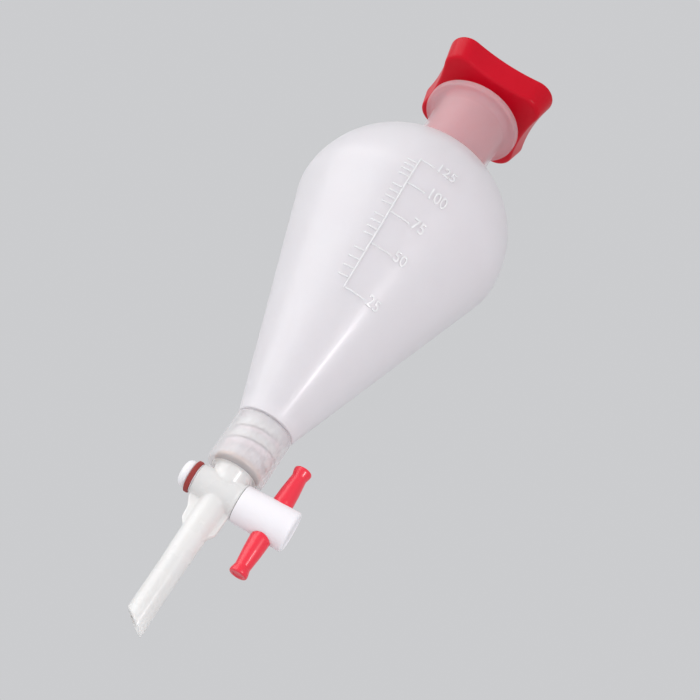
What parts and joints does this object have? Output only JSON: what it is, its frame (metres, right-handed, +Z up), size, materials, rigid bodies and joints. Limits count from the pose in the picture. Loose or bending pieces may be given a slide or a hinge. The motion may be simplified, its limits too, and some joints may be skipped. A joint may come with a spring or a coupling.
{
  "type": "separatory funnel",
  "caption": "Pear-shaped plastic separatory funnel with a lobed stopper, a screwed-on stopcock with a bar handle, and a slanted outlet stem.",
  "frame": {"origin": "centre of the circle where the cone rests in a support ring of 60 mm inside diameter, on the funnel's axis", "axes": "+Z up the funnel's axis, from the stem to the stopper; +X along the stopcock's axis towards the plug's head; the raised scale faces -Y"},
  "size_m": [0.0684, 0.0689, 0.2156],
  "materials": {
    "flask_plastic": "milky translucent polypropylene, satin",
    "stopper_plastic": "red polyethylene, soft gloss",
    "gasket_rubber": "tan rubber, dull",
    "housing_plastic": "creamy translucent polypropylene, satin",
    "plug_plastic": "opaque white fluoropolymer, waxy matt",
    "handle_plastic": "red plastic, soft gloss",
    "washer_rubber": "dull red rubber",
    "nut_plastic": "white plastic, satin"
  },
  "bodies": {
    "flask": {"flask": "flask_plastic"},
    "stopper": {"stopper": "stopper_plastic"},
    "gasket": {"connector_gasket": "gasket_rubber"},
    "housing": {"stopcock_housing": "housing_plastic"},
    "plug": {"stopcock_plug": "plug_plastic", "plug_handle": "handle_plastic"},
    "washers": {"slip_washer": "plug_plastic", "tension_washer": "washer_rubber"},
    "nut": {"retaining_nut": "nut_plastic"}
  },
  "joints": [
    {"name": "stopper_lift", "type": "slide", "parent": "flask", "child": "stopper", "axis": [0, 0, 1], "range_m": [0, 0.035]},
    {"name": "connector_travel", "type": "slide", "parent": "flask", "child": "gasket", "axis": [0, 0, -1], "range_m": [0, 0.0141]},
    {"name": "connector_screw", "type": "hinge", "parent": "gasket", "child": "housing", "pos_m": [0, 0, -0.08047], "axis": [0, 0, -1], "range_deg": [0, 1260]},
    {"name": "plug_turn", "type": "hinge", "parent": "housing", "child": "plug", "pos_m": [0, 0, -0.08847], "axis": [1, 0, 0], "continuous": true},
    {"name": "washer_travel", "type": "slide", "parent": "plug", "child": "washers", "axis": [-1, 0, 0], "range_m": [0, 0.00208]},
    {"name": "nut_screw", "type": "hinge", "parent": "washers", "child": "nut", "pos_m": [-0.0095, 0, -0.08847], "axis": [-1, 0, 0], "range_deg": [0, 600]}
  ],
  "couplings": [
    {"joint": "connector_travel", "follows": "connector_screw", "m_per_rad": 0.00063662},
    {"joint": "nut_screw", "follows": "washer_travel", "rad_per_m": 5026.5}
  ]
}
